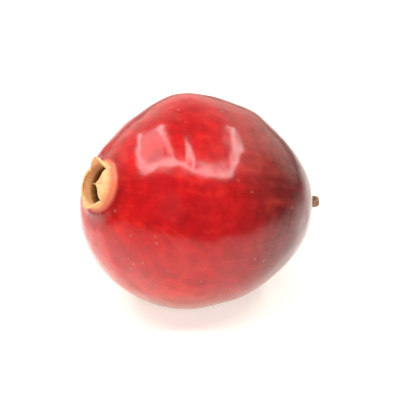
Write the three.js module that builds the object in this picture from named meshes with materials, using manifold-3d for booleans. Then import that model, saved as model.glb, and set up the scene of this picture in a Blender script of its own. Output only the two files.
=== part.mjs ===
// A ripe cranberry lying on its side: one closed solid that carries its calyx at one end and the
// stub of its stalk at the other. Millimetres and degrees, +Z up, resting on Z = 0. The origin is
// the middle of the small flat that the berry rests on. Its length runs along X, with the stalk at
// +X and the calyx at -X, and -Y is its front.

import * as THREE from "three";
import { mergeVertices } from "three/addons/utils/BufferGeometryUtils.js";
import Module from "manifold-3d";

// Fruit
const HALF_LENGTH = 9.9; // from the middle of the fruit to either end, along its own axis
const GIRTH_RADIUS = 8.82; // of a fruit with no taper, at the middle
const STALK_TAPER = 0.135; // share of the radius lost towards the stalk
const PITCH = 5; // how far the calyx end is lifted
const LEAN_UP = 21; // how far the calyx end is bent up besides, off the stalk's line
const LEAN_FRONT = 14; // and how far it is bent to the front
const LEAN_REACH = 0.8; // share of HALF_LENGTH over which it bends
const REST_DEPTH = 0.26; // how much of the skin the resting flat takes off

// Broad swellings and flats of the skin, each centred on a direction from the middle of the fruit
const SWELLINGS = [
  { towards: [-7, 5, 5], rise: -0.75, spread: 30 }, // flat shoulder behind the calyx
  { towards: [0, 5, 9], rise: 0.7, spread: 25 }, // crown of the back
  { towards: [6, 3, 8], rise: 0.35, spread: 20 }, // its slope to the stalk
  { towards: [-9, 0, -3], rise: 0.2, spread: 30 }, // full cheek under the calyx
];

// Calyx: a low ring round a cup, drawn out into four sepals
const RING_RADIUS = 1.84; // middle of the ring's wall
const RING_WALL = 0.46; // thickness of that wall where it leaves the skin
const RING_HEIGHT = 0.28; // from the skin to the notches between sepals
const COLLAR_RADIUS = 2.45; // where the skin starts to rise to the ring
const SEPAL_TIP = 0.16; // thickness at the tip
const SEPAL_CREASE = 0.6; // length over which a sepal folds, above the ring
const SEPALS = [
  // A narrow sepal is drawn out to a point, and a broad one has fuller sides.
  { at: 28, length: 2.05, fold: 92, fullness: 0.7 }, // in front, folded over the cup
  { at: 118, length: 0.85, fold: -42, fullness: 0.8 }, // uppermost, leaning out
  { at: 208, length: 0.75, fold: 75, fullness: 0.7 }, // at the back, folded in
  { at: 298, length: 0.75, fold: -40, fullness: 0.8 }, // lowermost, leaning out
];
const MOAT_RADIUS = 2.95; // middle of the faint hollow round the ring
const MOAT_WIDTH = 0.55;
const MOAT_DEPTH = 0.1;

// Cup inside the ring
const CUP_RADIUS = 1.42; // at its foot
const CUP_DEPTH = 0.85; // from the ring's root to its foot
const DISC_RISE = 0.24; // dome of the nectar disc on the floor
const STYLE_RADIUS = 0.22; // withered stump in the middle
const STYLE_HEIGHT = 0.3;

// Stub of the stalk
const STUB_RADIUS = 0.46;
const STUB_LENGTH = 0.6;
const STUB_EDGE = 0.08; // rounding of its broken end
const STUB_FILLET = 0.42; // width of the curve from the skin up to the stub
const STUB_STRAIGHT = 0.55; // share of the way down to the skin that its side runs straight
const STUB_FLARE = 0.85; // share of the way down at which a third of the fillet is reached

// Fineness of the mesh
const COLUMNS = 72; // round the fruit
const BODY_ROWS = 26; // from the stub to the collar
const WALL_ROWS = 5; // up each side of the ring and sepals
const FLOOR_ROWS = 5; // from the cup's foot to the style

// Closeness of the sums
const HALVINGS = 40; // of the range in which an angle is sought
const LEVEL_WITHIN = 1e-4; // height within which a corner counts as on the flat

const radians = THREE.MathUtils.degToRad;

// Radius of the fruit at an angle from its stalk end.
function skinRadius(angle) {
  const towardsStalk = (1 + Math.cos(angle)) / 2;
  return GIRTH_RADIUS * Math.sin(angle) * (1 - STALK_TAPER * towardsStalk ** 2);
}

// How far along the axis the skin lies, with the faint hollow round the ring.
function skinAlong(angle) {
  const along = -HALF_LENGTH * Math.cos(angle);
  if (along < 0) return along;
  const offset = (skinRadius(angle) - MOAT_RADIUS) / MOAT_WIDTH;
  return along - MOAT_DEPTH * Math.exp(-(offset ** 2));
}

// Angle at which the skin has the given radius, between an end of the fruit and its middle.
function angleAt(radius, end) {
  let atEnd = end;
  let atMiddle = Math.PI / 2;
  for (let halving = 0; halving < HALVINGS; halving++) {
    const tried = (atEnd + atMiddle) / 2;
    if (skinRadius(tried) < radius) atEnd = tried;
    else atMiddle = tried;
  }
  return atMiddle;
}

const STUB_ANGLE = angleAt(STUB_RADIUS + STUB_FILLET, 0);
const COLLAR_ANGLE = angleAt(COLLAR_RADIUS, Math.PI);
const RING_ROOT = skinAlong(angleAt(RING_RADIUS, Math.PI));

// The sepal nearest to an angle round the axis, and its outline there: 1 at its middle and 0 in
// the notch beside it.
function sepalAt(degrees) {
  const halfWidth = 180 / SEPALS.length;
  const away = (sepal) =>
    Math.abs(THREE.MathUtils.euclideanModulo(degrees - sepal.at + 180, 360) - 180);
  const nearest = SEPALS.reduce((best, sepal) => (away(sepal) < away(best) ? sepal : best));
  const inside = Math.max(0, 1 - away(nearest) / halfWidth);
  return { ...nearest, outline: inside ** nearest.fullness };
}

// A point on the wall of the ring and sepals. reach runs from 0 at its root to 1 at its edge, and
// side is 1 on the outside and -1 on the inside. Above the ring the wall rolls over evenly for
// the length of the crease, and runs straight beyond it.
function wallPoint(reach, side, degrees) {
  const { length, fold, outline } = sepalAt(degrees);
  const height = reach * (RING_HEIGHT + length * outline);
  const onRing = Math.min(height, RING_HEIGHT);
  const onCrease = Math.min(height - onRing, SEPAL_CREASE);
  const beyond = height - onRing - onCrease;
  const curve = radians(fold) / SEPAL_CREASE;
  const turn = curve * onCrease;
  const inward = (1 - Math.cos(turn)) / curve + beyond * Math.sin(turn);
  const upward = onRing + Math.sin(turn) / curve + beyond * Math.cos(turn);
  const thinned = Math.sqrt(height / (RING_HEIGHT + length));
  const half = THREE.MathUtils.lerp(RING_WALL, SEPAL_TIP, thinned) / 2;
  return {
    radius: RING_RADIUS - inward + side * half * Math.cos(turn),
    along: RING_ROOT + upward + side * half * Math.sin(turn),
  };
}

// The rows of the surface, from the broken end of the stub to the top of the style. Each gives a
// radius and a place along the axis for an angle round it.
function surfaceRows() {
  const rows = [];
  const ring = (radius, along) => rows.push(() => ({ radius, along }));

  const stubEnd = -HALF_LENGTH - STUB_LENGTH;
  const stubRoot = skinAlong(STUB_ANGLE);
  ring(0, stubEnd);
  ring(STUB_RADIUS - STUB_EDGE, stubEnd);
  ring(STUB_RADIUS, stubEnd + STUB_EDGE);
  ring(STUB_RADIUS, THREE.MathUtils.lerp(stubEnd, stubRoot, STUB_STRAIGHT));
  ring(STUB_RADIUS + STUB_FILLET / 3, THREE.MathUtils.lerp(stubEnd, stubRoot, STUB_FLARE));

  for (let row = 0; row <= BODY_ROWS; row++) {
    const angle = THREE.MathUtils.lerp(STUB_ANGLE, COLLAR_ANGLE, row / BODY_ROWS);
    ring(skinRadius(angle), skinAlong(angle));
  }
  for (let row = 0; row <= WALL_ROWS; row++) {
    rows.push((degrees) => wallPoint(row / WALL_ROWS, 1, degrees));
  }
  for (let row = WALL_ROWS; row >= 0; row--) {
    rows.push((degrees) => wallPoint(row / WALL_ROWS, -1, degrees));
  }
  for (let row = 0; row <= FLOOR_ROWS; row++) {
    const share = 1 - row / FLOOR_ROWS;
    const radius = CUP_RADIUS * share;
    const disc = DISC_RISE * (1 - share ** 2);
    const style = STYLE_HEIGHT * Math.exp(-((radius / STYLE_RADIUS) ** 2));
    ring(radius, RING_ROOT - CUP_DEPTH + disc + style);
  }
  return rows;
}

// Bends the calyx end of the upright fruit (Y along its axis) up and to the front.
function lean(point) {
  const towards = new THREE.Vector3(LEAN_UP, 0, LEAN_FRONT);
  const hinge = new THREE.Vector3(0, 1, 0).cross(towards).normalize();
  const share = THREE.MathUtils.smoothstep(point.y, 0, LEAN_REACH * HALF_LENGTH);
  return point.applyAxisAngle(hinge, radians(towards.length()) * share);
}

// Turns the upright fruit (Y along its axis, X up and Z to the front) as it lies in the part.
function layDown() {
  const pitch = radians(PITCH);
  const up = new THREE.Vector3(Math.sin(pitch), 0, Math.cos(pitch));
  const axis = new THREE.Vector3(-Math.cos(pitch), 0, Math.sin(pitch));
  const front = new THREE.Vector3(0, -1, 0);
  return new THREE.Matrix4().makeBasis(up, axis, front);
}

// Moves a point of the lying fruit out or in where the skin swells or is flat.
function swell(point) {
  const outward = point.clone().normalize();
  let rise = 0;
  for (const swelling of SWELLINGS) {
    const centre = new THREE.Vector3(...swelling.towards);
    const away = THREE.MathUtils.radToDeg(outward.angleTo(centre)) / swelling.spread;
    rise += swelling.rise * Math.exp(-(away ** 2));
  }
  return point.addScaledVector(outward, rise);
}

// The whole surface, closed, with the middle of the fruit at the origin.
function makeSurface() {
  const rows = surfaceRows();
  const outline = rows.map((row) => {
    const { radius, along } = row(0);
    return new THREE.Vector2(radius, along);
  });
  const surface = new THREE.LatheGeometry(outline, COLUMNS);
  const position = surface.getAttribute("position");
  const lying = layDown();
  const point = new THREE.Vector3();
  for (let column = 0; column <= COLUMNS; column++) {
    const degrees = (360 * (column % COLUMNS)) / COLUMNS;
    rows.forEach((row, index) => {
      const { radius, along } = row(degrees);
      point.set(radius * Math.sin(radians(degrees)), along, radius * Math.cos(radians(degrees)));
      swell(lean(point).applyMatrix4(lying));
      position.setXYZ(column * rows.length + index, point.x, point.y, point.z);
    });
  }
  return surface;
}

const wasm = await Module();
wasm.setup();

// A three.js geometry as a manifold-3d solid.
function toSolid(geometry) {
  const bare = geometry.clone();
  bare.deleteAttribute("normal");
  bare.deleteAttribute("uv");
  const merged = mergeVertices(bare);
  const vertProperties = merged.getAttribute("position").array;
  const triVerts = new Uint32Array(merged.index.array);
  return new wasm.Manifold(new wasm.Mesh({ numProp: 3, vertProperties, triVerts }));
}

// A manifold-3d solid as a three.js geometry.
function toGeometry(solid) {
  const mesh = solid.getMesh();
  const geometry = new THREE.BufferGeometry();
  geometry.setAttribute("position", new THREE.BufferAttribute(mesh.vertProperties, mesh.numProp));
  geometry.setIndex(new THREE.BufferAttribute(mesh.triVerts, 1));
  geometry.computeVertexNormals();
  return geometry;
}

// Sets the fruit down: takes REST_DEPTH of skin off under its lowest point, and puts the middle
// of the flat that this leaves at the origin.
function setDown(surface) {
  surface.computeBoundingBox();
  const flatHeight = surface.boundingBox.min.z + REST_DEPTH;
  const size = 4 * HALF_LENGTH;
  const table = new THREE.BoxGeometry(size, size, size);
  table.translate(0, 0, flatHeight - size / 2);
  const standing = toGeometry(toSolid(surface).subtract(toSolid(table)));

  const position = standing.getAttribute("position");
  const corner = new THREE.Vector3();
  const flat = new THREE.Box3();
  for (let index = 0; index < position.count; index++) {
    corner.fromBufferAttribute(position, index);
    if (Math.abs(corner.z - flatHeight) < LEVEL_WITHIN) flat.expandByPoint(corner);
  }
  const middle = flat.getCenter(corner);
  return standing.translate(-middle.x, -middle.y, -middle.z);
}

const cranberryRed = new THREE.MeshStandardMaterial({
  color: new THREE.Color().setRGB(0.66, 0.05, 0.07, THREE.SRGBColorSpace),
  roughness: 0.22,
  metalness: 0,
});

const cranberry = new THREE.Mesh(setDown(makeSurface()), cranberryRed);
cranberry.name = "cranberry";

const part = new THREE.Group();
part.add(cranberry);

export default part;
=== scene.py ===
"""A ripe cranberry lying on its side, grown over its CAD solid.

The berry is one closed surface. Its stretches follow each other from the broken end of the stalk
stub, over the skin, up the outside of the calyx, over its rim, down its inside and across the
floor of its cup. One Geometry Nodes tree makes that surface from the named sizes of the stub, the
flesh and the calyx, bends and swells it, raises its relief, and sets it down on its resting flat.
Lengths are in metres and angles in degrees.
"""

import logging
import math
from dataclasses import dataclass, fields
from enum import Enum
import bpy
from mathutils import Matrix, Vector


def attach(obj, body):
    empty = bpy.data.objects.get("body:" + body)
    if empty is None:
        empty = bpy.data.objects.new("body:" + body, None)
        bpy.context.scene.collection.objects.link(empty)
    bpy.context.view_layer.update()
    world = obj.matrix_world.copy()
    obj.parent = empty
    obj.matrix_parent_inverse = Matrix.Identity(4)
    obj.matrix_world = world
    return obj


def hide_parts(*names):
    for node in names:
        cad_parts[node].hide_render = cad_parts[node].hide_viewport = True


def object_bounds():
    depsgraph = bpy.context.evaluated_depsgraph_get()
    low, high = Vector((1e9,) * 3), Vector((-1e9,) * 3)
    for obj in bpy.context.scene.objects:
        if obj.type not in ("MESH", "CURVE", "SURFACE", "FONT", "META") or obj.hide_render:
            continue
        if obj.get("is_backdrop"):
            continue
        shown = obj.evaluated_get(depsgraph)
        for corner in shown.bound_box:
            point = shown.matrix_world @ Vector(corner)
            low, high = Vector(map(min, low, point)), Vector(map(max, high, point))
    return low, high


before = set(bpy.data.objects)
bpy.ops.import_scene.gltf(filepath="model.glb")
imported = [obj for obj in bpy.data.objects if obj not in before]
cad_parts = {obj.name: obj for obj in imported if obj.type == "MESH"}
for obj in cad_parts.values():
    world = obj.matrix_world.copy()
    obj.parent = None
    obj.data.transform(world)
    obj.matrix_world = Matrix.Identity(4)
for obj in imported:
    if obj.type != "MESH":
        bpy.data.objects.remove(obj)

from types import SimpleNamespace
from typing import Any, Iterable

import bpy
from mathutils import Euler, Vector

MM = 0.001
CAD_NODE = "cranberry"

log = logging.getLogger("cranberry")


# ---------------------------------------------------------------- node sums


class Sock:
    """A node's output socket that Python's operators work on, each adding the node for it."""

    def __init__(self, maker: "NodeMaker", socket: bpy.types.NodeSocket) -> None:
        """Wraps a socket.

        Args:
            maker: The maker of the tree that the socket is in.
            socket: The output socket.
        """
        self.maker = maker
        self.socket = socket

    def _sum(self, operation: str, first: Any, second: Any) -> "Sock":
        """Adds a Math or a Vector Math node, whichever the operands need.

        Args:
            operation: The operation, which both kinds of node know by the same name.
            first: A number, a tuple or a Sock.
            second: A number, a tuple or a Sock.

        Returns:
            The result.
        """
        vectors = [isinstance(term, tuple) or is_vector(term) for term in (first, second)]
        if any(vectors):
            return self.maker.vector(operation, first, second)
        return self.maker.math(operation, first, second)

    def __add__(self, other: Any) -> "Sock":
        """self + other."""
        return self._sum("ADD", self, other)

    def __radd__(self, other: Any) -> "Sock":
        """other + self."""
        return self._sum("ADD", other, self)

    def __sub__(self, other: Any) -> "Sock":
        """self - other."""
        return self._sum("SUBTRACT", self, other)

    def __rsub__(self, other: Any) -> "Sock":
        """other - self."""
        return self._sum("SUBTRACT", other, self)

    def __mul__(self, other: Any) -> "Sock":
        """self * other."""
        return self._sum("MULTIPLY", self, other)

    def __rmul__(self, other: Any) -> "Sock":
        """other * self."""
        return self._sum("MULTIPLY", other, self)

    def __truediv__(self, other: Any) -> "Sock":
        """self / other."""
        return self._sum("DIVIDE", self, other)

    def __rtruediv__(self, other: Any) -> "Sock":
        """other / self."""
        return self._sum("DIVIDE", other, self)

    def __pow__(self, other: Any) -> "Sock":
        """self ** other."""
        return self.maker.math("POWER", self, other)

    def __neg__(self) -> "Sock":
        """-self."""
        return self * -1.0

    def __abs__(self) -> "Sock":
        """abs(self)."""
        return self.maker.math("ABSOLUTE", self)

    def __gt__(self, other: Any) -> "Sock":
        """1 where self is over other, and 0 elsewhere."""
        return self.maker.math("GREATER_THAN", self, other)

    def __mod__(self, other: Any) -> "Sock":
        """self modulo other, never negative."""
        return self.maker.math("FLOORED_MODULO", self, other)


def is_vector(term: Any) -> bool:
    """Whether a term is a socket that carries a vector."""
    return isinstance(term, Sock) and term.socket.type == "VECTOR"


class NodeMaker:
    """Adds nodes to one tree."""

    def __init__(self, tree: bpy.types.NodeTree) -> None:
        """Starts on a tree.

        Args:
            tree: The shader or geometry node tree to add to.
        """
        self.tree = tree

    def node(self, kind: str, settings: dict[str, Any] | None = None,
             values: dict[Any, Any] | None = None) -> bpy.types.Node:
        """Adds any node.

        Args:
            kind: The node's type.
            settings: Its own settings, set first.
            values: A value or a Sock for each input, by its number, identifier or name.

        Returns:
            The node.
        """
        made = self.tree.nodes.new(kind)
        for name, value in (settings or {}).items():
            setattr(made, name, value)
        for key, value in (values or {}).items():
            socket = find_socket(made.inputs, key)
            if isinstance(value, Sock):
                self.tree.links.new(value.socket, socket)
            elif socket.type == "VECTOR" and isinstance(value, float):
                socket.default_value = (value,) * 3
            else:
                socket.default_value = value
        return made

    def add(self, kind: str, settings: dict[str, Any] | None = None,
            values: dict[Any, Any] | None = None, output: Any = 0) -> Sock:
        """Adds any node and wraps one of its outputs.

        Args:
            kind: The node's type.
            settings: Its own settings, as node() takes them.
            values: The values of its inputs, as node() takes them.
            output: The output wanted, by its number, identifier or name.

        Returns:
            The wrapped output.
        """
        made = self.node(kind, settings, values)
        return Sock(self, find_socket(made.outputs, output))

    def math(self, operation: str, *terms: Any, clamp: bool = False) -> Sock:
        """Adds a Math node.

        Args:
            operation: Its operation.
            terms: One to three numbers or Socks.
            clamp: Whether the result is kept from 0 to 1.

        Returns:
            Its value.
        """
        settings = {"operation": operation, "use_clamp": clamp}
        return self.add("ShaderNodeMath", settings, dict(enumerate(terms)))

    def vector(self, operation: str, *terms: Any, output: Any = 0) -> Sock:
        """Adds a Vector Math node.

        Args:
            operation: Its operation.
            terms: One or two numbers, tuples or Socks.
            output: "Value" for an operation that gives a number.

        Returns:
            Its result.
        """
        values = dict(enumerate(terms))
        return self.add("ShaderNodeVectorMath", {"operation": operation}, values, output)

    def clamp(self, term: Sock) -> Sock:
        """A value kept from 0 to 1."""
        return self.math("ADD", term, 0.0, clamp=True)

    def least(self, first: Any, second: Any) -> Sock:
        """The smaller of two values."""
        return self.math("MINIMUM", first, second)

    def most(self, first: Any, second: Any) -> Sock:
        """The larger of two values."""
        return self.math("MAXIMUM", first, second)

    def sine(self, term: Any) -> Sock:
        """The sine of an angle in radians."""
        return self.math("SINE", term)

    def cosine(self, term: Any) -> Sock:
        """The cosine of an angle in radians."""
        return self.math("COSINE", term)

    def hill(self, distance: Sock) -> Sock:
        """A bell curve: 1 at a distance of 0, and about a third at 1."""
        return self.math("EXPONENT", -(distance * distance))

    def step(self, term: Any, low: Any, high: Any) -> Sock:
        """A smooth rise from 0 where a term is low to 1 where it is high."""
        values = {"Value": term, "From Min": low, "From Max": high}
        return self.add("ShaderNodeMapRange", {"interpolation_type": "SMOOTHSTEP"}, values)

    def where(self, mask: Sock, inside: Any, outside: Any) -> Sock:
        """One value where a mask is 1, and another where it is 0."""
        return outside + mask * (inside - outside)

    def combine(self, x: Any, y: Any, z: Any) -> Sock:
        """A vector from its three parts."""
        return self.add("ShaderNodeCombineXYZ", values={0: x, 1: y, 2: z})

    def part(self, vector: Sock, axis: str) -> Sock:
        """One part of a vector, named by its axis: X, Y or Z."""
        return self.add("ShaderNodeSeparateXYZ", values={0: vector}, output=axis)

    def turn(self, vector: Sock, axis: tuple[float, float, float], angle: Any) -> Sock:
        """A vector turned about an axis through the origin by an angle in radians."""
        return self.add("ShaderNodeVectorRotate", {"rotation_type": "AXIS_ANGLE"},
                        {"Vector": vector, "Axis": axis, "Angle": angle})

    def noise(self, place: Sock, scale: float, detail: float = 2.0,
              roughness: float = 0.5, seed: float = 0.0) -> Sock:
        """Fractal noise from 0 to 1, about 0.5 on average.

        Args:
            place: Where to read it.
            scale: Features to a unit of place.
            detail: Octaves.
            roughness: How much of each finer octave shows.
            seed: Which noise.

        Returns:
            The noise.
        """
        values = {"Vector": place, "W": seed, "Scale": scale, "Detail": detail,
                  "Roughness": roughness}
        return self.add("ShaderNodeTexNoise", {"noise_dimensions": "4D"}, values)

    def mix(self, factor: Any, first: Any, second: Any, mode: str = "MIX") -> Sock:
        """Two colours mixed.

        Args:
            factor: How much of the second.
            first: A colour or a Sock.
            second: A colour or a Sock.
            mode: The blend mode.

        Returns:
            The mixed colour.
        """
        values = {"Factor_Float": factor, "A_Color": opaque(first), "B_Color": opaque(second)}
        settings = {"data_type": "RGBA", "blend_type": mode}
        return self.add("ShaderNodeMix", settings, values, "Result_Color")

    def attribute(self, name: str, output: str = "Fac") -> Sock:
        """A shader's reading of an attribute that the surface carries."""
        return self.add("ShaderNodeAttribute", {"attribute_name": name}, output=output)


def opaque(colour: Any) -> Any:
    """A colour with its alpha added, or a Sock as it is."""
    return colour if isinstance(colour, Sock) else (*colour, 1.0)


def find_socket(sockets: Any, key: Any) -> bpy.types.NodeSocket:
    """Finds a node's socket by its number, or else by its identifier, or else by its name.

    Args:
        sockets: The node's inputs or outputs.
        key: The number, identifier or name.

    Returns:
        The socket.
    """
    if isinstance(key, int):
        return sockets[key]
    named = [socket for socket in sockets if socket.identifier == key]
    return named[0] if named else sockets[key]


class GrowthTree(NodeMaker):
    """A Geometry Nodes tree whose inputs are the sizes of the parts that it grows."""

    def __init__(self, name: str, parts: Iterable[Any]) -> None:
        """Makes the tree and its named inputs.

        Args:
            name: The tree's name.
            parts: Dataclasses, whose every float field becomes an input.
        """
        super().__init__(bpy.data.node_groups.new(name, "GeometryNodeTree"))
        faces = self.tree.interface
        faces.new_socket("Geometry", in_out="INPUT", socket_type="NodeSocketGeometry")
        faces.new_socket("Geometry", in_out="OUTPUT", socket_type="NodeSocketGeometry")
        self.settings: dict[str, float] = {}
        keys: dict[tuple[str, str], str] = {}
        for part in parts:
            title = type(part).__name__
            for size in fields(part):
                value = getattr(part, size.name)
                if isinstance(value, float):
                    label = f"{title} {size.name.replace('_', ' ')}"
                    item = faces.new_socket(label, in_out="INPUT", socket_type="NodeSocketFloat")
                    self.settings[item.identifier] = value
                    keys[title, size.name] = item.identifier
        start = self.node("NodeGroupInput")
        self._sizes: dict[str, SimpleNamespace] = {}
        for (title, name_of_size), identifier in keys.items():
            socket = Sock(self, find_socket(start.outputs, identifier))
            setattr(self._sizes.setdefault(title, SimpleNamespace()), name_of_size, socket)

    def sizes_of(self, part: Any) -> SimpleNamespace:
        """The inputs that hold a part's sizes, by the names of its fields."""
        return self._sizes[type(part).__name__]

    def position(self) -> Sock:
        """Where each point of the geometry is."""
        return self.add("GeometryNodeInputPosition")

    def move(self, shape: Sock, position: Sock) -> Sock:
        """The shape with its points moved to new positions."""
        return self.add("GeometryNodeSetPosition", values={"Geometry": shape,
                                                           "Position": position})

    def store(self, shape: Sock, name: str, value: Sock) -> Sock:
        """The shape with a value stored on its points under a name.

        Args:
            shape: The shape.
            name: What the value is kept under.
            value: The value, a number or a vector.

        Returns:
            The shape that carries it.
        """
        kind = "FLOAT_VECTOR" if is_vector(value) else "FLOAT"
        return self.add("GeometryNodeStoreNamedAttribute", {"data_type": kind, "domain": "POINT"},
                        {"Geometry": shape, "Name": name, "Value": value})

    def stored(self, name: str, kind: str = "FLOAT") -> Sock:
        """What store() keeps under a name."""
        return self.add("GeometryNodeInputNamedAttribute", {"data_type": kind}, {"Name": name})

    def extreme(self, shape: Sock, value: Sock, which: str, chosen: Any = None) -> Sock:
        """The least or most of a value over a shape's points.

        Args:
            shape: The shape.
            value: What to measure.
            which: "Min" or "Max".
            chosen: A mask of the points that count, or None for all of them.

        Returns:
            The value.
        """
        values = {"Geometry": shape, "Attribute": value}
        if chosen is not None:
            values["Selection"] = chosen
        return self.add("GeometryNodeAttributeStatistic", values=values, output=which)

    def finish(self, shape: Sock, material: bpy.types.Material) -> None:
        """Ends the tree: instances are made real and the material is set.

        Args:
            shape: The finished shape.
            material: Its material.
        """
        real = self.add("GeometryNodeRealizeInstances", values={"Geometry": shape})
        dressed = self.add("GeometryNodeSetMaterial", values={"Geometry": real,
                                                              "Material": material})
        self.node("NodeGroupOutput", values={"Geometry": dressed})


# ---------------------------------------------------------------- what the surface carries


class Mark(Enum):
    """Names of what is stored on the surface, for its relief and its finish to read."""

    GRAIN = "grain"  # cosine and sine of the angle round the fruit, and the place along it
    AXIS_DISTANCE = "axis_distance"  # from the fruit's own axis, in metres
    CALYX = "calyx"  # 1 on the ring, the sepals and the cup
    INSIDE = "inside"  # 1 on the inner side of the calyx
    REACH = "reach"  # up the wall, from 0 at its root to 1 at the tip of its sepal
    DEPTH = "depth"  # into the cup, from 0 at the ring's root to 1 at the floor
    SEPAL_SIDE = "sepal_side"  # across a sepal, from 0 at its middle to 1 at the notches
    STUB = "stub"  # 1 on the stalk stub, fading over its fillet


@dataclass(frozen=True)
class Stretch:
    """A stretch of rows of the surface, and what holds on it."""

    rows: int
    radius: Sock
    along: Sock
    marks: dict[Mark, Any]


# ---------------------------------------------------------------- the fruit


@dataclass(frozen=True)
class Swelling:
    """A broad swelling or flat of the skin."""

    towards: tuple[float, float, float]
    rise: float
    spread: float


@dataclass(frozen=True)
class Flesh:
    """The body of the fruit under its skin, and how it lies."""

    half_length: float = 9.9 * MM
    girth_radius: float = 8.82 * MM
    stalk_taper: float = 0.135
    pitch: float = 5.0
    lean_up: float = 21.0
    lean_front: float = 14.0
    lean_reach: float = 0.8
    rest_depth: float = 0.26 * MM
    moat_radius: float = 2.95 * MM
    moat_width: float = 0.55 * MM
    moat_depth: float = 0.1 * MM
    swellings: tuple[Swelling, ...] = (
        Swelling((-7.0, 5.0, 5.0), -0.75 * MM, 30.0),
        Swelling((0.0, 5.0, 9.0), 0.7 * MM, 25.0),
        Swelling((6.0, 3.0, 8.0), 0.35 * MM, 20.0),
        Swelling((-9.0, 0.0, -3.0), 0.2 * MM, 30.0),
    )
    rows: int = 150

    def radius_at(self, angle: float) -> float:
        """The skin's distance from the axis at an angle from the stalk end, in radians."""
        towards_stalk = (1 + math.cos(angle)) / 2
        return self.girth_radius * math.sin(angle) * (1 - self.stalk_taper * towards_stalk**2)

    def along_at(self, angle: float) -> float:
        """How far along the axis the skin lies at an angle, without the hollow at the ring."""
        return -self.half_length * math.cos(angle)

    def angle_at(self, radius: float, end: float) -> float:
        """Finds the angle at which the skin has a radius.

        Args:
            radius: The radius wanted.
            end: The angle of the fruit's end to search from, 0 or pi.

        Returns:
            The angle in radians.
        """
        at_end, at_middle = end, math.pi / 2
        for _ in range(40):
            tried = (at_end + at_middle) / 2
            if self.radius_at(tried) < radius:
                at_end = tried
            else:
                at_middle = tried
        return at_middle

    def skin(self, tree: GrowthTree, share: Sock, first: float, last: float) -> Stretch:
        """The skin between the stub and the calyx.

        Args:
            tree: The tree to add to.
            share: How far along the stretch a row is, from 0 to 1.
            first: The angle where the skin leaves the stub, in radians.
            last: The angle where it meets the calyx.

        Returns:
            The stretch.
        """
        size = tree.sizes_of(self)
        angle = first + share * (last - first)
        towards_stalk = (1 + tree.cosine(angle)) / 2
        taper = 1 - size.stalk_taper * towards_stalk * towards_stalk
        radius = size.girth_radius * tree.sine(angle) * taper
        along = -size.half_length * tree.cosine(angle)
        moat = tree.hill((radius - size.moat_radius) / size.moat_width) * (along > 0.0)
        return Stretch(self.rows, radius, along - size.moat_depth * moat, {})

    def lay(self, tree: GrowthTree, upright: Sock, along: Sock) -> Sock:
        """Bends the calyx end up and to the front, pitches the fruit, and swells its skin.

        Args:
            tree: The tree to add to.
            upright: Points of the straight fruit, its stalk at +X and its calyx at -X.
            along: How far towards the calyx they lie.

        Returns:
            The points as the fruit lies, with its middle at the origin.
        """
        size = tree.sizes_of(self)
        to_radians = math.pi / 180
        hinge = Vector((0.0, self.lean_up, self.lean_front)).normalized()
        lean = (size.lean_up * size.lean_up + size.lean_front * size.lean_front) ** 0.5
        share = tree.step(along, 0.0, size.lean_reach * size.half_length)
        leaning = tree.turn(upright, tuple(hinge), lean * share * to_radians)
        lying = tree.turn(leaning, (0.0, 1.0, 0.0), size.pitch * to_radians)
        outward = tree.vector("NORMALIZE", lying)
        rise: Any = 0.0
        for swelling in self.swellings:
            centre = tuple(Vector(swelling.towards).normalized())
            cosine = tree.vector("DOT_PRODUCT", outward, centre, output="Value")
            away = tree.math("ARCCOSINE", cosine) / (swelling.spread * to_radians)
            rise = rise + swelling.rise * tree.hill(away)
        return lying + outward * rise

    def set_down(self, tree: GrowthTree, shape: Sock) -> Sock:
        """Rests the fruit on a flat pressed into its lowest skin, centred on the origin.

        Args:
            tree: The tree to add to.
            shape: The fruit with its middle at the origin.

        Returns:
            The fruit resting on the ground.
        """
        position = tree.position()
        lowest = tree.extreme(shape, tree.part(position, "Z"), "Min")
        ground = lowest + tree.sizes_of(self).rest_depth
        pressed = ground > tree.part(position, "Z")
        middle = []
        for axis in "XY":
            place = tree.part(position, axis)
            ends = [tree.extreme(shape, place, which, pressed) for which in ("Min", "Max")]
            middle.append((ends[0] + ends[1]) / 2)
        moved = position - tree.combine(*middle, ground)
        height = tree.most(tree.part(moved, "Z"), 0.0)
        standing = tree.combine(tree.part(moved, "X"), tree.part(moved, "Y"), height)
        return tree.move(shape, standing)


@dataclass(frozen=True)
class StalkStub:
    """The stub of the stalk, broken off short."""

    radius: float = 0.46 * MM
    length: float = 0.6 * MM
    edge: float = 0.08 * MM
    fillet: float = 0.42 * MM
    end_rows: int = 8
    side_rows: int = 12

    def broken_end(self, tree: GrowthTree, share: Sock, flesh: Flesh) -> Stretch:
        """The end of the stub, slightly hollow.

        Args:
            tree: The tree to add to.
            share: How far out from its middle a row is, from 0 to 1.
            flesh: The fruit that the stub is on.

        Returns:
            The stretch.
        """
        size = tree.sizes_of(self)
        hollow = 0.5 * size.edge * (1 - share * share)
        along = -1.0 * (tree.sizes_of(flesh).half_length + size.length) + hollow
        return Stretch(self.end_rows, (size.radius - size.edge) * share, along, {Mark.STUB: 1.0})

    def side(self, tree: GrowthTree, share: Sock, flesh: Flesh, root: float) -> Stretch:
        """The side of the stub, over its rounded edge and down its fillet to the skin.

        Args:
            tree: The tree to add to.
            share: How far down a row is, from 0 at the edge to 1 at the skin.
            flesh: The fruit that the stub is on.
            root: How far along the axis the fillet meets the skin.

        Returns:
            The stretch.
        """
        size = tree.sizes_of(self)
        end = -1.0 * (tree.sizes_of(flesh).half_length + size.length)
        rounding = tree.sine(tree.clamp(share * 4.0) * (math.pi / 2))
        spread = 1 - tree.cosine(tree.clamp((share - 0.25) / 0.75) * (math.pi / 2))
        radius = size.radius - size.edge * (1 - rounding) + size.fillet * spread
        along = end + (root - end) * tree.sine(share * (math.pi / 2))
        fading = 1 - tree.step(share, 0.35, 1.0)
        return Stretch(self.side_rows, radius, along, {Mark.STUB: fading})


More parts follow.
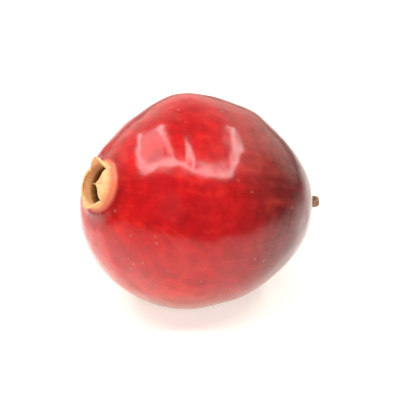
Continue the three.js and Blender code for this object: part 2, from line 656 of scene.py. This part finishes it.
@dataclass(frozen=True)
class Sepal:
    """One sepal: how long it is, how far it folds over, and how full its sides are."""

    length: float
    fold: float
    fullness: float


@dataclass(frozen=True)
class Calyx:
    """The ring, the cup inside it, and the four sepals that the ring is drawn out into."""

    ring_radius: float = 1.84 * MM
    ring_wall: float = 0.46 * MM
    ring_height: float = 0.28 * MM
    collar_radius: float = 2.45 * MM
    sepal_tip: float = 0.16 * MM
    sepal_crease: float = 0.6 * MM
    sepal_start: float = 28.0
    ragged: float = 0.1
    cup_radius: float = 1.42 * MM
    cup_depth: float = 0.85 * MM
    disc_rise: float = 0.24 * MM
    style_radius: float = 0.22 * MM
    style_height: float = 0.3 * MM
    sepals: tuple[Sepal, ...] = (
        Sepal(2.05 * MM, 92.0, 0.7),
        Sepal(0.85 * MM, -42.0, 0.8),
        Sepal(0.75 * MM, 75.0, 0.7),
        Sepal(0.75 * MM, -40.0, 0.8),
    )
    collar_rows: int = 6
    wall_rows: int = 34
    rim_rows: int = 6
    cup_rows: int = 16
    floor_rows: int = 22

    def _sepal_at(self, tree: GrowthTree, turn: Sock) -> SimpleNamespace:
        """The sepal at an angle round the axis, and the outline of its edge there.

        Args:
            tree: The tree to add to.
            turn: The angle, as a share of a full turn.

        Returns:
            The sepal's length, curve (radians to a metre), outline (1 at its middle and 0 at
            the notches) and side (0 at its middle and 1 at the notches).
        """
        count = len(self.sepals)
        placed = (turn - tree.sizes_of(self).sepal_start / 360) * count + 0.5
        side = abs((placed % 1.0) - 0.5) * 2.0
        which = tree.math("FLOOR", placed % float(count))
        found = SimpleNamespace(length=0.0, fold=0.0, fullness=0.0, side=side)
        for number, sepal in enumerate(self.sepals):
            here = tree.math("COMPARE", which, float(number), 0.1)
            found.length = found.length + here * sepal.length
            found.fold = found.fold + here * sepal.fold
            found.fullness = found.fullness + here * sepal.fullness
        ring = tree.combine(tree.cosine(turn * math.tau), tree.sine(turn * math.tau), 0.0)
        torn = (tree.noise(ring, 6.0, 3.0, seed=4.0) - 0.5) * tree.sizes_of(self).ragged * 2.0
        found.outline = (tree.clamp(1 - side) ** found.fullness) * (1 + torn)
        found.curve = found.fold * (math.pi / 180) / self.sepal_crease
        return found

    def _wall_point(self, tree: GrowthTree, turn: Sock, share: Any, side: Any,
                    over: Any, root: float) -> tuple[Sock, Sock, Sock, Sock]:
        """A point of the wall, which rolls over evenly in the crease and then runs straight.

        Args:
            tree: The tree to add to.
            turn: The angle round the axis, as a share of a full turn.
            share: How far up the wall, from 0 at its root to 1 at its edge.
            side: Across its thickness, from 1 outside to -1 inside.
            over: How far past its edge, in half thicknesses.
            root: How far along the axis the wall leaves the skin.

        Returns:
            The radius, the place along the axis, the height as a share of the whole sepal,
            and the place across the sepal.
        """
        size = tree.sizes_of(self)
        sepal = self._sepal_at(tree, turn)
        height = share * (size.ring_height + sepal.length * sepal.outline)
        on_ring = tree.least(height, size.ring_height)
        on_crease = tree.least(height - on_ring, size.sepal_crease)
        beyond = height - on_ring - on_crease
        bend = sepal.curve * on_crease
        sine, cosine = tree.sine(bend), tree.cosine(bend)
        inward = (1 - cosine) / sepal.curve + beyond * sine
        upward = on_ring + sine / sepal.curve + beyond * cosine
        reach = height / (size.ring_height + sepal.length)
        half = (size.ring_wall + (size.sepal_tip - size.ring_wall) * reach**0.5) / 2
        radius = size.ring_radius - inward + half * (side * cosine - over * sine)
        along = root + upward + half * (side * sine + over * cosine)
        return radius, along, reach, sepal.side

    def stretches(self, tree: GrowthTree, turn: Sock, shares: list[Sock], start: Stretch,
                  root: float) -> list[Stretch]:
        """The calyx, from the skin up over its rim and down to the middle of its cup.

        Args:
            tree: The tree to add to.
            turn: The angle round the axis, as a share of a full turn.
            shares: How far along each of its six stretches a row is, from 0 to 1.
            start: The skin's last row.
            root: How far along the axis the ring leaves the skin.

        Returns:
            The stretches.
        """
        size = tree.sizes_of(self)
        collar, outer, rim, inner, cup, floor = shares

        foot = self._wall_point(tree, turn, 0.0, 1.0, 0.0, root)
        eased = 1 - tree.cosine(collar * (math.pi / 2))
        onto = Stretch(self.collar_rows,
                       start.radius + (foot[0] - start.radius) * tree.sine(collar * math.pi / 2),
                       start.along + (foot[1] - start.along) * eased,
                       {Mark.CALYX: tree.step(collar, 0.0, 1.0)})

        radius, along, reach, side = self._wall_point(tree, turn, outer, 1.0, 0.0, root)
        marks = {Mark.CALYX: 1.0, Mark.REACH: reach, Mark.SEPAL_SIDE: side}
        outside = Stretch(self.wall_rows, radius, along, marks)

        across, over = tree.cosine(rim * math.pi), 0.8 * tree.sine(rim * math.pi)
        radius, along, reach, side = self._wall_point(tree, turn, 1.0, across, over, root)
        marks = {Mark.CALYX: 1.0, Mark.INSIDE: rim, Mark.REACH: reach, Mark.SEPAL_SIDE: side}
        edge = Stretch(self.rim_rows, radius, along, marks)

        radius, along, reach, side = self._wall_point(tree, turn, 1 - inner, -1.0, 0.0, root)
        marks = {Mark.CALYX: 1.0, Mark.INSIDE: 1.0, Mark.REACH: reach, Mark.SEPAL_SIDE: side}
        inside = Stretch(self.wall_rows, radius, along, marks)

        mouth = size.ring_radius - size.ring_wall / 2
        rounded = 1 - tree.cosine(cup * (math.pi / 2))
        marks = {Mark.CALYX: 1.0, Mark.INSIDE: 1.0, Mark.DEPTH: cup}
        well = Stretch(self.cup_rows, mouth + (size.cup_radius - mouth) * rounded,
                       root - size.cup_depth * tree.sine(cup * (math.pi / 2)), marks)

        outward = 1 - floor
        radius = size.cup_radius * outward
        disc = size.disc_rise * (1 - outward * outward)
        style = size.style_height * tree.hill(radius / size.style_radius)
        marks = {Mark.CALYX: 1.0, Mark.INSIDE: 1.0, Mark.DEPTH: 1.0}
        bottom = Stretch(self.floor_rows, radius, root - size.cup_depth + disc + style, marks)
        return [onto, outside, edge, inside, well, bottom]


@dataclass(frozen=True)
class Relief:
    """The fine shape of the surface, raised along its normals."""

    lump_height: float = 0.2 * MM
    lump_spacing: float = 5.0 * MM
    dent_height: float = 0.07 * MM
    dent_spacing: float = 2.3 * MM
    pucker_height: float = 0.05 * MM
    pucker_reach: float = 4.2 * MM
    calyx_height: float = 0.05 * MM
    calyx_spacing: float = 0.5 * MM
    rib_height: float = 0.05 * MM
    seed: float = 11.0

    def raise_on(self, tree: GrowthTree, shape: Sock) -> Sock:
        """Moves the surface's points along their normals.

        Args:
            tree: The tree to add to.
            shape: The smooth fruit.

        Returns:
            The fruit with its relief.
        """
        size = tree.sizes_of(self)
        position = tree.position()
        grain = tree.stored(Mark.GRAIN.value, "FLOAT_VECTOR")
        calyx = tree.stored(Mark.CALYX.value)
        stub = tree.stored(Mark.STUB.value)
        distance = tree.stored(Mark.AXIS_DISTANCE.value)
        side = tree.stored(Mark.SEPAL_SIDE.value)
        reach = tree.stored(Mark.REACH.value)

        skin = (1 - calyx) * (1 - stub)
        lumps = tree.noise(position / size.lump_spacing, 1.0, 1.0, seed=size.seed) - 0.5
        dents = tree.noise(position / size.dent_spacing, 1.0, 2.0, seed=size.seed + 1.0) - 0.5
        near_end = tree.step(distance, size.pucker_reach, 0.3 * size.pucker_reach)
        round_it = tree.combine(tree.part(grain, "X"), tree.part(grain, "Y"), 0.0)
        folds = tree.noise(round_it, 3.2, 2.0, seed=size.seed + 2.0) - 0.5
        on_skin = (lumps * size.lump_height + dents * size.dent_height
                   + folds * near_end * size.pucker_height) * 2.0 * skin

        rough = tree.noise(position / size.calyx_spacing, 1.0, 3.0, seed=size.seed + 3.0) - 0.5
        rib = tree.hill(side * 5.0) * tree.step(reach, 0.1, 0.4)
        on_rest = rough * size.calyx_height * 2.0 * (1 - skin) + rib * size.rib_height
        normal = tree.add("GeometryNodeInputNormal")
        return tree.move(shape, position + normal * (on_skin + on_rest))


# ---------------------------------------------------------------- finishes


@dataclass(frozen=True)
class Coat:
    """What a finish gives at each point of the surface."""

    colour: Sock
    roughness: Any
    gloss: Any
    height: Sock


@dataclass(frozen=True)
class SkinFinish:
    """Thin glossy skin, red over most of the fruit and wine-dark towards the stalk."""

    scarlet: tuple[float, float, float] = (0.50, 0.0030, 0.005)
    crimson: tuple[float, float, float] = (0.38, 0.003, 0.006)
    burgundy: tuple[float, float, float] = (0.085, 0.006, 0.007)
    # Orange-red, for the fruit's own flecks and for its lighter lower side, which is partly
    # painted light from the table.
    blush: tuple[float, float, float] = (0.56, 0.055, 0.018)
    pale: tuple[float, float, float] = (0.5, 0.25, 0.16)
    # Pale pink of the film on the top: partly wax bloom, partly painted sheen.
    bloom: tuple[float, float, float] = (0.46, 0.13, 0.10)
    # Tan of the very bottom: partly the fruit's own underside, partly painted shade.
    tan: tuple[float, float, float] = (0.30, 0.13, 0.08)
    # Where the painted shade in the crease round the calyx's collar lies, and how wide it is.
    crease_radius: float = 2.55 * MM
    crease_width: float = 0.45 * MM

    def coat(self, nodes: NodeMaker, place: Sock) -> Coat:
        """Lays the skin's colours and its fine relief.

        Args:
            nodes: The material's nodes.
            place: Where each point is, in metres.

        Returns:
            The coat.
        """
        grain = nodes.attribute(Mark.GRAIN.value, "Vector")
        along = nodes.part(grain, "Z")
        broad = nodes.noise(place, 160.0, 2.0, seed=1.0)
        streaky = nodes.noise(grain * (9.0, 9.0, 1.6), 1.0, 3.0, 0.6, seed=2.0)
        fine = nodes.noise(grain * (16.0, 16.0, 6.0), 1.0, 2.0, 0.5, seed=3.0)
        mottled = nodes.noise(place, 900.0, 4.0, 0.65, seed=4.0)

        patch = nodes.step(broad + (streaky - 0.5) * 0.5, 0.35, 0.65)
        colour = nodes.mix(patch, self.scarlet, self.crimson)
        to_stalk = nodes.step(along + (broad - 0.5) * 0.3 + (streaky - 0.5) * 0.22, 0.56, 0.12)
        colour = nodes.mix(to_stalk * 0.9, colour, self.burgundy)
        # Lighter orange-red lower down: partly the fruit's own paler underside, partly painted
        # light thrown up from the white table.
        underside_and_table_light = nodes.step(nodes.part(place, "Z") + (broad - 0.5) * 4 * MM, 6.5 * MM, 0.0)
        colour = nodes.mix(underside_and_table_light * (1 - 0.6 * to_stalk) * 0.55, colour, self.blush)
        # Duller tan at the very bottom: partly the fruit's own paler underside, partly painted
        # shade under the fruit.
        lowest = nodes.step(nodes.part(place, "Z") + (streaky - 0.5) * 3 * MM, 4.8 * MM, 0.5 * MM)
        colour = nodes.mix(lowest * 0.75, colour, self.tan)
        flecks = nodes.step(fine + (mottled - 0.5) * 0.7, 0.48, 0.85)
        colour = nodes.mix(flecks * 0.2, colour, self.blush)
        # Pale, duller film over the top towards the stalk: partly wax bloom, partly painted sheen
        # where the overhead lights fall on it.
        height = nodes.part(place, "Z") + (streaky - 0.5) * 6 * MM
        shoulder = nodes.step(nodes.part(place, "X"), -1 * MM, 6 * MM)
        bloom = nodes.step(height, 10 * MM, 16 * MM) * shoulder * nodes.step(broad, 0.3, 0.6)
        colour = nodes.mix(bloom * 0.4, colour, self.bloom)
        # Painted shade: the skin is darkened towards burgundy in a band round the calyx's collar,
        # where its crease lies in shadow.
        distance = nodes.attribute(Mark.AXIS_DISTANCE.value)
        crease = nodes.hill((distance - self.crease_radius) / self.crease_width)
        colour = nodes.mix(crease * 0.38, colour, self.burgundy)
        dots = self._dots(nodes, place)
        colour = nodes.mix(dots * 0.25, colour, self.pale)
        shade = nodes.step(mottled, 0.3, 0.75) * 0.4 + 0.8
        colour = nodes.mix(1.0, colour, nodes.combine(shade, shade, shade), "MULTIPLY")

        roughness = 0.30 + (mottled - 0.5) * 0.16 + (broad - 0.5) * 0.1 + bloom * 0.15
        gloss = 0.85 - dots * 0.3 - bloom * 0.2 + (mottled - 0.5) * 0.2
        relief = (streaky - 0.5) * 0.5 + (mottled - 0.5) * 0.4 + dots * 0.1
        return Coat(colour, roughness, nodes.clamp(gloss), relief)

    def _dots(self, nodes: NodeMaker, place: Sock) -> Sock:
        """Scatters tiny pale dots unevenly over the skin.

        Args:
            nodes: The material's nodes.
            place: Where each point is, in metres.

        Returns:
            1 in the middle of a dot, and 0 between them.
        """
        cells = nodes.node("ShaderNodeTexVoronoi", {"voronoi_dimensions": "3D"},
                           {"Vector": place, "Scale": 1100.0, "Randomness": 1.0})
        distance = Sock(nodes, cells.outputs["Distance"])
        lot = nodes.part(Sock(nodes, cells.outputs["Color"]), "X")
        return nodes.step(distance, 0.22, 0.08) * (lot > 0.72)


@dataclass(frozen=True)
class CalyxFinish:
    """Dry cream sepals, rosy at the root outside, brown down in the cup, with painted shade where
    its wall meets its floor.
    """

    cream: tuple[float, float, float] = (0.78, 0.46, 0.22)
    straw: tuple[float, float, float] = (0.60, 0.28, 0.10)
    rose: tuple[float, float, float] = (0.62, 0.09, 0.06)
    floor: tuple[float, float, float] = (0.24, 0.08, 0.015)
    # Near black, for the painted shade in the corner of the cup.
    dark: tuple[float, float, float] = (0.03, 0.011, 0.002)

    def coat(self, nodes: NodeMaker, place: Sock) -> Coat:
        """Lays the calyx's colours and its dry grain.

        Args:
            nodes: The material's nodes.
            place: Where each point is, in metres.

        Returns:
            The coat.
        """
        grain = nodes.attribute(Mark.GRAIN.value, "Vector")
        reach = nodes.attribute(Mark.REACH.value)
        depth = nodes.attribute(Mark.DEPTH.value)
        inside = nodes.attribute(Mark.INSIDE.value)
        side = nodes.attribute(Mark.SEPAL_SIDE.value)
        veins = nodes.noise(grain * (26.0, 26.0, 2.0), 1.0, 2.0, seed=5.0)
        rough = nodes.noise(place, 2600.0, 4.0, 0.6, seed=6.0)

        colour = nodes.mix(nodes.step(veins, 0.45, 0.7), self.cream, self.straw)
        root = nodes.step(reach + (rough - 0.5) * 0.12, 0.32, 0.0) * (1 - inside)
        colour = nodes.mix(root * 0.75, colour, self.rose)
        tip = nodes.step(reach + side * 0.1 + (rough - 0.5) * 0.2, 0.86, 1.05)
        colour = nodes.mix(tip * 0.6, colour, self.floor)
        lining = inside * nodes.step(reach, 0.55, 0.05) * (1 - nodes.hill(side * 1.6) * 0.5)
        colour = nodes.mix(lining * 0.55, colour, self.floor)
        colour = nodes.mix(nodes.step(depth, 0.0, 0.35), colour, self.floor)
        # Painted shade: near black in the corner where the cup's wall meets its floor.
        corner = nodes.hill((depth - 0.75) * 3.0) * (1 - nodes.step(depth, 0.98, 1.0))
        colour = nodes.mix(corner, colour, self.dark)
        stain = nodes.step(rough, 0.52, 0.75)
        colour = nodes.mix(stain * 0.35, colour, self.straw)
        return Coat(colour, 0.62 + (rough - 0.5) * 0.2, 0.12, (veins - 0.5) + (rough - 0.5))


@dataclass(frozen=True)
class StubFinish:
    """Weathered grey-brown stalk, mottled with paler patches."""

    bark: tuple[float, float, float] = (0.16, 0.095, 0.06)
    pith: tuple[float, float, float] = (0.36, 0.25, 0.15)

    def coat(self, nodes: NodeMaker, place: Sock) -> Coat:
        """Lays the stub's colours and its bark.

        Args:
            nodes: The material's nodes.
            place: Where each point is, in metres.

        Returns:
            The coat.
        """
        rough = nodes.noise(place, 3800.0, 4.0, 0.65, seed=7.0)
        colour = nodes.mix(nodes.step(rough, 0.4, 0.65), self.bark, self.pith)
        return Coat(colour, 0.75, 0.0, rough - 0.5)


@dataclass(frozen=True)
class BerryFinish:
    """The whole berry's material: skin, calyx and stub, each where the surface says."""

    skin: SkinFinish = SkinFinish()
    calyx: CalyxFinish = CalyxFinish()
    stub: StubFinish = StubFinish()
    coat_roughness: float = 0.17
    ior: float = 1.45
    specular: float = 0.2
    specular_tint: tuple[float, float, float] = (1.0, 0.8, 0.7)
    subsurface: float = 0.25
    subsurface_scale: float = 1.8 * MM
    bump_depth: float = 0.014 * MM

    def material(self) -> bpy.types.Material:
        """Builds the material.

        Returns:
            The material.
        """
        made = bpy.data.materials.new("cranberry_finish")
        made.use_nodes = True
        made.node_tree.nodes.clear()
        nodes = NodeMaker(made.node_tree)
        place = nodes.add("ShaderNodeTexCoord", output="Object")
        calyx_mask = nodes.attribute(Mark.CALYX.value)
        stub_mask = nodes.attribute(Mark.STUB.value)
        skin = self.skin.coat(nodes, place)
        calyx = self.calyx.coat(nodes, place)
        stub = self.stub.coat(nodes, place)

        colour = nodes.mix(calyx_mask, skin.colour, calyx.colour)
        colour = nodes.mix(stub_mask, colour, stub.colour)

        def blended(name: str) -> Sock:
            """Joins one number of the three coats, each where it belongs.

            Args:
                name: The coat's field.

            Returns:
                The number.
            """
            body, crown, stalk = (getattr(coat, name) for coat in (skin, calyx, stub))
            return nodes.where(stub_mask, stalk, nodes.where(calyx_mask, crown, body))

        bump = nodes.add("ShaderNodeBump", values={"Strength": 1.0, "Distance": self.bump_depth,
                                                   "Height": blended("height")})
        shader = nodes.add("ShaderNodeBsdfPrincipled", {"subsurface_method": "RANDOM_WALK"}, {
            "Base Color": colour,
            "Roughness": blended("roughness"),
            "Coat Weight": blended("gloss"),
            "Coat Roughness": self.coat_roughness,
            "IOR": self.ior,
            "Specular IOR Level": self.specular,
            "Specular Tint": (*self.specular_tint, 1.0),
            "Subsurface Weight": self.subsurface,
            "Subsurface Radius": (1.0, 0.18, 0.12),
            "Subsurface Scale": self.subsurface_scale,
            "Normal": bump,
        })
        nodes.node("ShaderNodeOutputMaterial", values={"Surface": shader})
        return made


# ---------------------------------------------------------------- the berry


@dataclass(frozen=True)
class Cranberry:
    """The whole berry, grown as one piece."""

    flesh: Flesh = Flesh()
    stub: StalkStub = StalkStub()
    calyx: Calyx = Calyx()
    relief: Relief = Relief()
    finish: BerryFinish = BerryFinish()
    columns: int = 256

    def build(self) -> bpy.types.Object:
        """Grows the berry and puts it in the frame in the CAD solid's place.

        Returns:
            The piece.
        """
        material = self.finish.material()
        tree = GrowthTree("cranberry_growth", (self.flesh, self.stub, self.calyx, self.relief))
        shape = self._surface(tree)
        shape = self.relief.raise_on(tree, shape)
        shape = self.flesh.set_down(tree, shape)
        tree.finish(tree.add("GeometryNodeSetShadeSmooth", values={"Geometry": shape}), material)
        piece = self._harvest(tree)
        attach(piece, "root")
        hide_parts(CAD_NODE)
        return piece

    def _surface(self, tree: GrowthTree) -> Sock:
        """The smooth surface, closed, with the middle of the fruit at the origin.

        Args:
            tree: The tree to add to.

        Returns:
            The surface, carrying its marks.
        """
        first = self.flesh.angle_at(self.stub.radius + self.stub.fillet, 0.0)
        last = self.flesh.angle_at(self.calyx.collar_radius, math.pi)
        ring_root = self.flesh.along_at(self.flesh.angle_at(self.calyx.ring_radius, math.pi))
        rows = [self.stub.end_rows, self.stub.side_rows, self.flesh.rows, self.calyx.collar_rows,
                self.calyx.wall_rows, self.calyx.rim_rows, self.calyx.wall_rows,
                self.calyx.cup_rows, self.calyx.floor_rows]
        starts = [sum(rows[:number]) for number in range(len(rows))]

        sheet = tree.add("GeometryNodeMeshGrid", values={
            "Size X": 1.0, "Size Y": 1.0, "Vertices X": sum(rows) + 1,
            "Vertices Y": self.columns + 1})
        flat = tree.position() + (0.5, 0.5, 0.0)
        row = tree.part(flat, "X") * float(sum(rows))
        turn = tree.part(flat, "Y")
        shares = [tree.clamp((row - float(start)) / float(count))
                  for start, count in zip(starts, rows)]

        skin = self.flesh.skin(tree, shares[2], first, last)
        stretches = [
            self.stub.broken_end(tree, shares[0], self.flesh),
            self.stub.side(tree, shares[1], self.flesh, self.flesh.along_at(first)),
            skin,
            *self.calyx.stretches(tree, turn, shares[3:], skin, ring_root),
        ]
        radius, along = stretches[0].radius, stretches[0].along
        marks: dict[Mark, Any] = {mark: stretches[0].marks.get(mark, 0.0) for mark in MARKED}
        for start, stretch in zip(starts[1:], stretches[1:]):
            past = row > start + 0.25
            radius = tree.where(past, stretch.radius, radius)
            along = tree.where(past, stretch.along, along)
            for mark in MARKED:
                value = stretch.marks.get(mark, 0.0)
                if not (isinstance(value, float) and value == marks[mark]):
                    marks[mark] = tree.where(past, value, marks[mark])

        cosine, sine = tree.cosine(turn * math.tau), tree.sine(turn * math.tau)
        half_length = tree.sizes_of(self.flesh).half_length
        carried = {mark.value: value for mark, value in marks.items()}
        carried[Mark.GRAIN.value] = tree.combine(cosine, sine, along / half_length / 2 + 0.5)
        carried[Mark.AXIS_DISTANCE.value] = tree.where(along > 0.0, radius, 1.0)
        shape = sheet
        for name, value in carried.items():
            shape = tree.store(shape, name, value)
        upright = tree.combine(-along, -(radius * cosine), radius * sine)
        shape = tree.move(shape, self.flesh.lay(tree, upright, along))
        return tree.add("GeometryNodeMergeByDistance", values={"Geometry": shape,
                                                               "Distance": 1e-4 * MM})

    @staticmethod
    def _harvest(tree: GrowthTree) -> bpy.types.Object:
        """Runs the tree and keeps what it grows as a plain mesh.

        Args:
            tree: The finished tree.

        Returns:
            The piece, at the origin.
        """
        seedling = bpy.data.objects.new("cranberry_seedling", bpy.data.meshes.new("seedling"))
        bpy.context.scene.collection.objects.link(seedling)
        modifier = seedling.modifiers.new("growth", "NODES")
        modifier.node_group = tree.tree
        for identifier, value in tree.settings.items():
            modifier[identifier] = value
        grown = seedling.evaluated_get(bpy.context.evaluated_depsgraph_get())
        mesh = bpy.data.meshes.new_from_object(grown)
        mesh.name = "cranberry_fruit"
        bpy.data.objects.remove(seedling)
        piece = bpy.data.objects.new("cranberry_fruit", mesh)
        bpy.context.scene.collection.objects.link(piece)
        return piece


MARKED = (Mark.CALYX, Mark.INSIDE, Mark.REACH, Mark.DEPTH, Mark.SEPAL_SIDE, Mark.STUB)


# ---------------------------------------------------------------- the studio


@dataclass(frozen=True)
class Panel:
    """A rectangular light, placed in the camera's directions from under the berry.

    Its turn and tilt are in degrees, and mirrored says whether the skin reflects it.
    """

    name: str
    right: float
    back: float
    height: float
    size: tuple[float, float]
    brightness: float
    turn: float = 0.0
    tilt: float = 0.0
    mirrored: bool = True

    def hang(self, azimuth: float) -> None:
        """Hangs the light, facing down or tilted to face back.

        Args:
            azimuth: The camera's turn about the vertical, in radians.
        """
        light = bpy.data.lights.new(self.name, "AREA")
        light.shape = "RECTANGLE"
        light.size, light.size_y = self.size
        light.energy = math.pi * self.size[0] * self.size[1] * self.brightness
        lamp = bpy.data.objects.new(self.name, light)
        place = Vector((self.right, self.back, self.height))
        place.rotate(Euler((0.0, 0.0, azimuth)))
        lamp.location = place
        turn = azimuth + math.radians(self.turn)
        lamp.rotation_euler = (math.radians(self.tilt), 0.0, turn)
        lamp.visible_glossy = self.mirrored
        bpy.context.scene.collection.objects.link(lamp)


@dataclass(frozen=True)
class Table:
    """The white table top, glowing, with a painted pool of light round the berry: its colour and
    its glow fade to dim further out.
    """

    size: float = 1.6
    white: tuple[float, float, float] = (0.74, 0.70, 0.66)
    dim: tuple[float, float, float] = (0.035, 0.031, 0.027)
    brightest: tuple[float, float, float] = (0.0, 0.012, 0.0)
    fades_to: float = 0.125
    roughness: float = 0.8
    glow: float = 0.7

    def build(self, height: float) -> None:
        """Makes the table top, just under a height, and stages it.

        Args:
            height: Where the object rests.
        """
        half = self.size / 2
        level = height - 0.01 * MM
        mesh = bpy.data.meshes.new("table")
        corners = [(-half, -half), (half, -half), (half, half), (-half, half)]
        mesh.from_pydata([(x, y, level) for x, y in corners], [], [(0, 1, 2, 3)])
        material = bpy.data.materials.new("table_white")
        material.use_nodes = True
        material.node_tree.nodes.clear()
        nodes = NodeMaker(material.node_tree)
        place = nodes.add("ShaderNodeTexCoord", output="Object")
        # Painted pool of light: the table's colour and glow are brightest just behind the berry
        # and fade to dim further out.
        distance = nodes.vector("LENGTH", place - self.brightest, output="Value")
        far = nodes.step(distance, 0.0, self.fades_to)
        colour = nodes.mix(far, self.white, self.dim)
        shader = nodes.add("ShaderNodeBsdfPrincipled", values={
            "Base Color": colour, "Roughness": self.roughness, "Emission Color": colour,
            "Emission Strength": self.glow})
        nodes.node("ShaderNodeOutputMaterial", values={"Surface": shader})
        mesh.materials.append(material)
        table = bpy.data.objects.new("table", mesh)
        bpy.context.scene.collection.objects.link(table)
        table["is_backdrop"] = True


@dataclass(frozen=True)
class Studio:
    """A white room with a lit frame overhead, and the camera that looks on."""

    azimuth: float = -12.0
    elevation: float = 30.0
    distance: float = 0.40
    view_width: float = 33.0 * MM
    frame_height: float = 0.25
    bar_width: float = 0.037
    bar_brightness: float = 10.0
    inside_brightness: float = 3.0
    fill_brightness: float = 6.5
    front: float = 0.15
    back: float = 1.15
    table: Table = Table()

    def build(self, low: Vector, high: Vector) -> None:
        """Sets up the table, the lights, the surroundings and the camera.

        Args:
            low: The object's lowest corner.
            high: Its highest corner.
        """
        self.table.build(low.z)
        for panel in self._panels():
            panel.hang(math.radians(self.azimuth))
        self._surroundings()
        self._camera((low + high) / 2)
        bpy.context.scene.view_settings.view_transform = "Standard"

    def _panels(self) -> list[Panel]:
        """Lists the lights: the overhead bars, the panel between them, and the front fill.

        Returns:
            The panels.
        """
        high, width, bright = self.frame_height, self.bar_width, self.bar_brightness
        return [
            Panel("front_bar", -0.11 * high, -0.3 * high, high, (1.58 * high, width), bright),
            Panel("left_bar", -0.85 * high, 0.42 * high, high, (width, 1.45 * high), bright),
            Panel("right_bar", 0.7 * high, 0.3 * high, high, (width, 1.2 * high), bright),
            Panel("cross_bar", -0.17 * high, 0.35 * high, high, (0.8 * width, 1.28 * high),
                  0.6 * bright, turn=20.0),
            Panel("inside", -0.5 * high, 0.3 * high, 1.02 * high, (0.55 * high, 1.1 * high),
                  self.inside_brightness),
            Panel("fill", 0.0, -0.36, 0.18, (0.30, 0.20), self.fill_brightness, tilt=65.0,
                  mirrored=False),
        ]

    def _surroundings(self) -> None:
        """Lights the room: bright behind and at the sides, and dark in front."""
        world = bpy.data.worlds.new("room")
        world.use_nodes = True
        world.node_tree.nodes.clear()
        nodes = NodeMaker(world.node_tree)
        direction = nodes.add("ShaderNodeTexCoord", output="Generated")
        away = nodes.step(nodes.part(direction, "Y"), 0.1, 0.75)
        low = nodes.step(nodes.part(direction, "Z"), 0.75, 0.1)
        strength = nodes.where(away * low, self.back, self.front)
        shader = nodes.add("ShaderNodeBackground", values={"Color": (1.0, 0.93, 0.84, 1.0),
                                                           "Strength": strength})
        nodes.node("ShaderNodeOutputWorld", values={"Surface": shader})
        bpy.context.scene.world = world

    def _camera(self, middle: Vector) -> None:
        """Places the camera.

        Args:
            middle: The point that it looks at.
        """
        data = bpy.data.cameras.new("camera")
        data.lens = data.sensor_width * self.distance / self.view_width
        data.clip_start = 1 * MM
        camera = bpy.data.objects.new("camera", data)
        turn, rise = math.radians(self.azimuth), math.radians(self.elevation)
        level = math.cos(rise)
        back = Vector((math.sin(turn) * level, -math.cos(turn) * level, math.sin(rise)))
        camera.location = middle + back * self.distance
        camera.rotation_euler = (-back).to_track_quat("-Z", "Y").to_euler()
        bpy.context.scene.collection.objects.link(camera)
        bpy.context.scene.camera = camera


def report(piece: bpy.types.Object) -> None:
    """Logs a piece's name and how fine its mesh is."""
    piece.data.calc_loop_triangles()
    log.info("%s: %d triangles", piece.name, len(piece.data.loop_triangles))


def main() -> None:
    """Grows the berry, sets up the studio and reports each piece."""
    logging.basicConfig(level=logging.INFO, format="%(name)s: %(message)s")
    cad_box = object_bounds()
    berry = Cranberry().build()
    report(berry)
    Studio().build(*cad_box)


if __name__ == "__main__":
    main()
